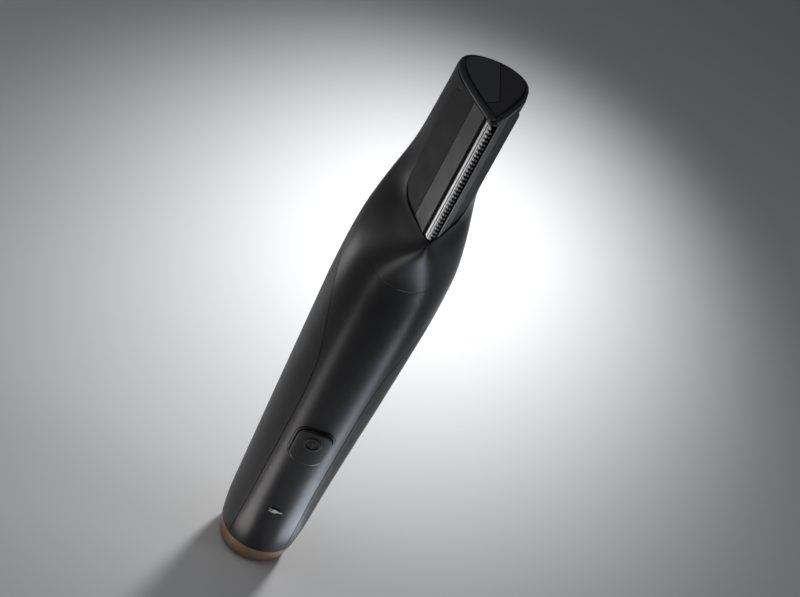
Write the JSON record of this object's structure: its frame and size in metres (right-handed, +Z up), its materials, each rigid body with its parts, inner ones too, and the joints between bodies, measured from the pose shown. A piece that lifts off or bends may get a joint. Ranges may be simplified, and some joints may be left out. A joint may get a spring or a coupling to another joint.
{
  "type": "body groomer",
  "caption": "Cordless body groomer with a round waisted handle, thumb button, wedge head with an upright toothed blade in a slot, sloping top cap and bronze base cap.",
  "frame": {"origin": "middle of the flat underside of the base cap, at the mouth of the charging socket", "axes": "+Z up along the handle, -Y towards the side with the button and the blade, +X to the right as that side is faced"},
  "size_m": [0.0282, 0.035, 0.1728],
  "materials": {
    "cover_black": "satin-gloss black",
    "housing_grey": "satin charcoal",
    "seal_rubber": "matt black",
    "rim_black": "satin-gloss black",
    "symbol_white": "printed white",
    "base_bronze": "metallic bronze lacquer, satin",
    "inlet_black": "matt black",
    "pin_brass": "plated",
    "chassis_grey": "moulded grey",
    "battery_sleeve": "shrink sleeve over a metal can",
    "tab_nickel": "nickel strip",
    "board_green": "solder resist",
    "switch_black": "moulded black",
    "lamp_clear": "clear",
    "guide_clear": "clear",
    "motor_steel": "zinc-plated can",
    "screw_steel": "bright",
    "neck_black": "moulded black",
    "button_black": "satin-gloss black",
    "shaft_steel": "ground",
    "head_black": "satin-gloss black",
    "panel_grey": "satin dark grey",
    "strip_silver": "satin grey metallic",
    "slot_black": "matt black",
    "cap_black": "satin charcoal",
    "insert_black": "satin charcoal",
    "comb_steel": "ground stainless",
    "cutter_steel": "ground stainless",
    "carrier_grey": "moulded grey",
    "spring_steel": "spring temper",
    "lever_white": "acetal"
  },
  "bodies": {
    "handle": {"front_cover": "cover_black", "rear_housing": "housing_grey", "cover_gasket": "seal_rubber", "button_surround": "rim_black", "button_seal": "seal_rubber", "charge_symbol": "symbol_white", "base_seal": "seal_rubber", "base_cap": "base_bronze", "charge_inlet": "inlet_black", "charge_pins": "pin_brass", "chassis": "chassis_grey", "battery": "battery_sleeve", "battery_tabs": "tab_nickel", "circuit_board": "board_green", "tact_switch": "switch_black", "indicator_lamp": "lamp_clear", "light_guide": "guide_clear", "motor": "motor_steel", "motor_screws": "screw_steel", "neck_mount": "neck_black", "shaft_seal": "seal_rubber", "neck_seal": "seal_rubber"},
    "button": {"power_button": "button_black"},
    "rotor": {"motor_shaft": "shaft_steel"},
    "head": {"head_housing": "head_black", "side_panel_left": "panel_grey", "side_panel_right": "panel_grey", "satin_strip_left": "strip_silver", "satin_strip_right": "strip_silver", "slot_frame": "slot_black", "head_cap": "cap_black", "cap_insert": "insert_black", "cap_boss": "neck_black", "fixed_comb": "comb_steel", "comb_holder": "carrier_grey", "comb_rivets": "screw_steel", "blade_spring": "spring_steel", "lever_axle": "shaft_steel", "head_frame": "neck_black", "latch_hooks": "neck_black"},
    "lever": {"drive_lever": "lever_white"},
    "cutter": {"moving_cutter": "cutter_steel", "blade_carrier": "carrier_grey"}
  },
  "joints": [
    {"name": "button_press", "type": "slide", "parent": "handle", "child": "button", "axis": [0, 1, 0], "range_m": [0, 0.0006], "stiffness_N_per_m": 400},
    {"name": "motor_spin", "type": "hinge", "parent": "handle", "child": "rotor", "pos_m": [0, 0, 0.112], "axis": [0, 0, 1], "continuous": true},
    {"name": "head_release", "type": "slide", "parent": "handle", "child": "head", "axis": [0, 0, 1], "range_m": [0, 0.025]},
    {"name": "lever_rock", "type": "hinge", "parent": "head", "child": "lever", "pos_m": [0, 0.006, 0.138], "axis": [1, 0, 0], "range_deg": [-3.5, 3.5]},
    {"name": "cutter_stroke", "type": "slide", "parent": "head", "child": "cutter", "axis": [0, 0, 1], "range_m": [-0.00077, 0.00077]}
  ],
  "couplings": [
    {"joint": "lever_rock", "follows": "cutter_stroke", "rad_per_m": -76.923}
  ]
}
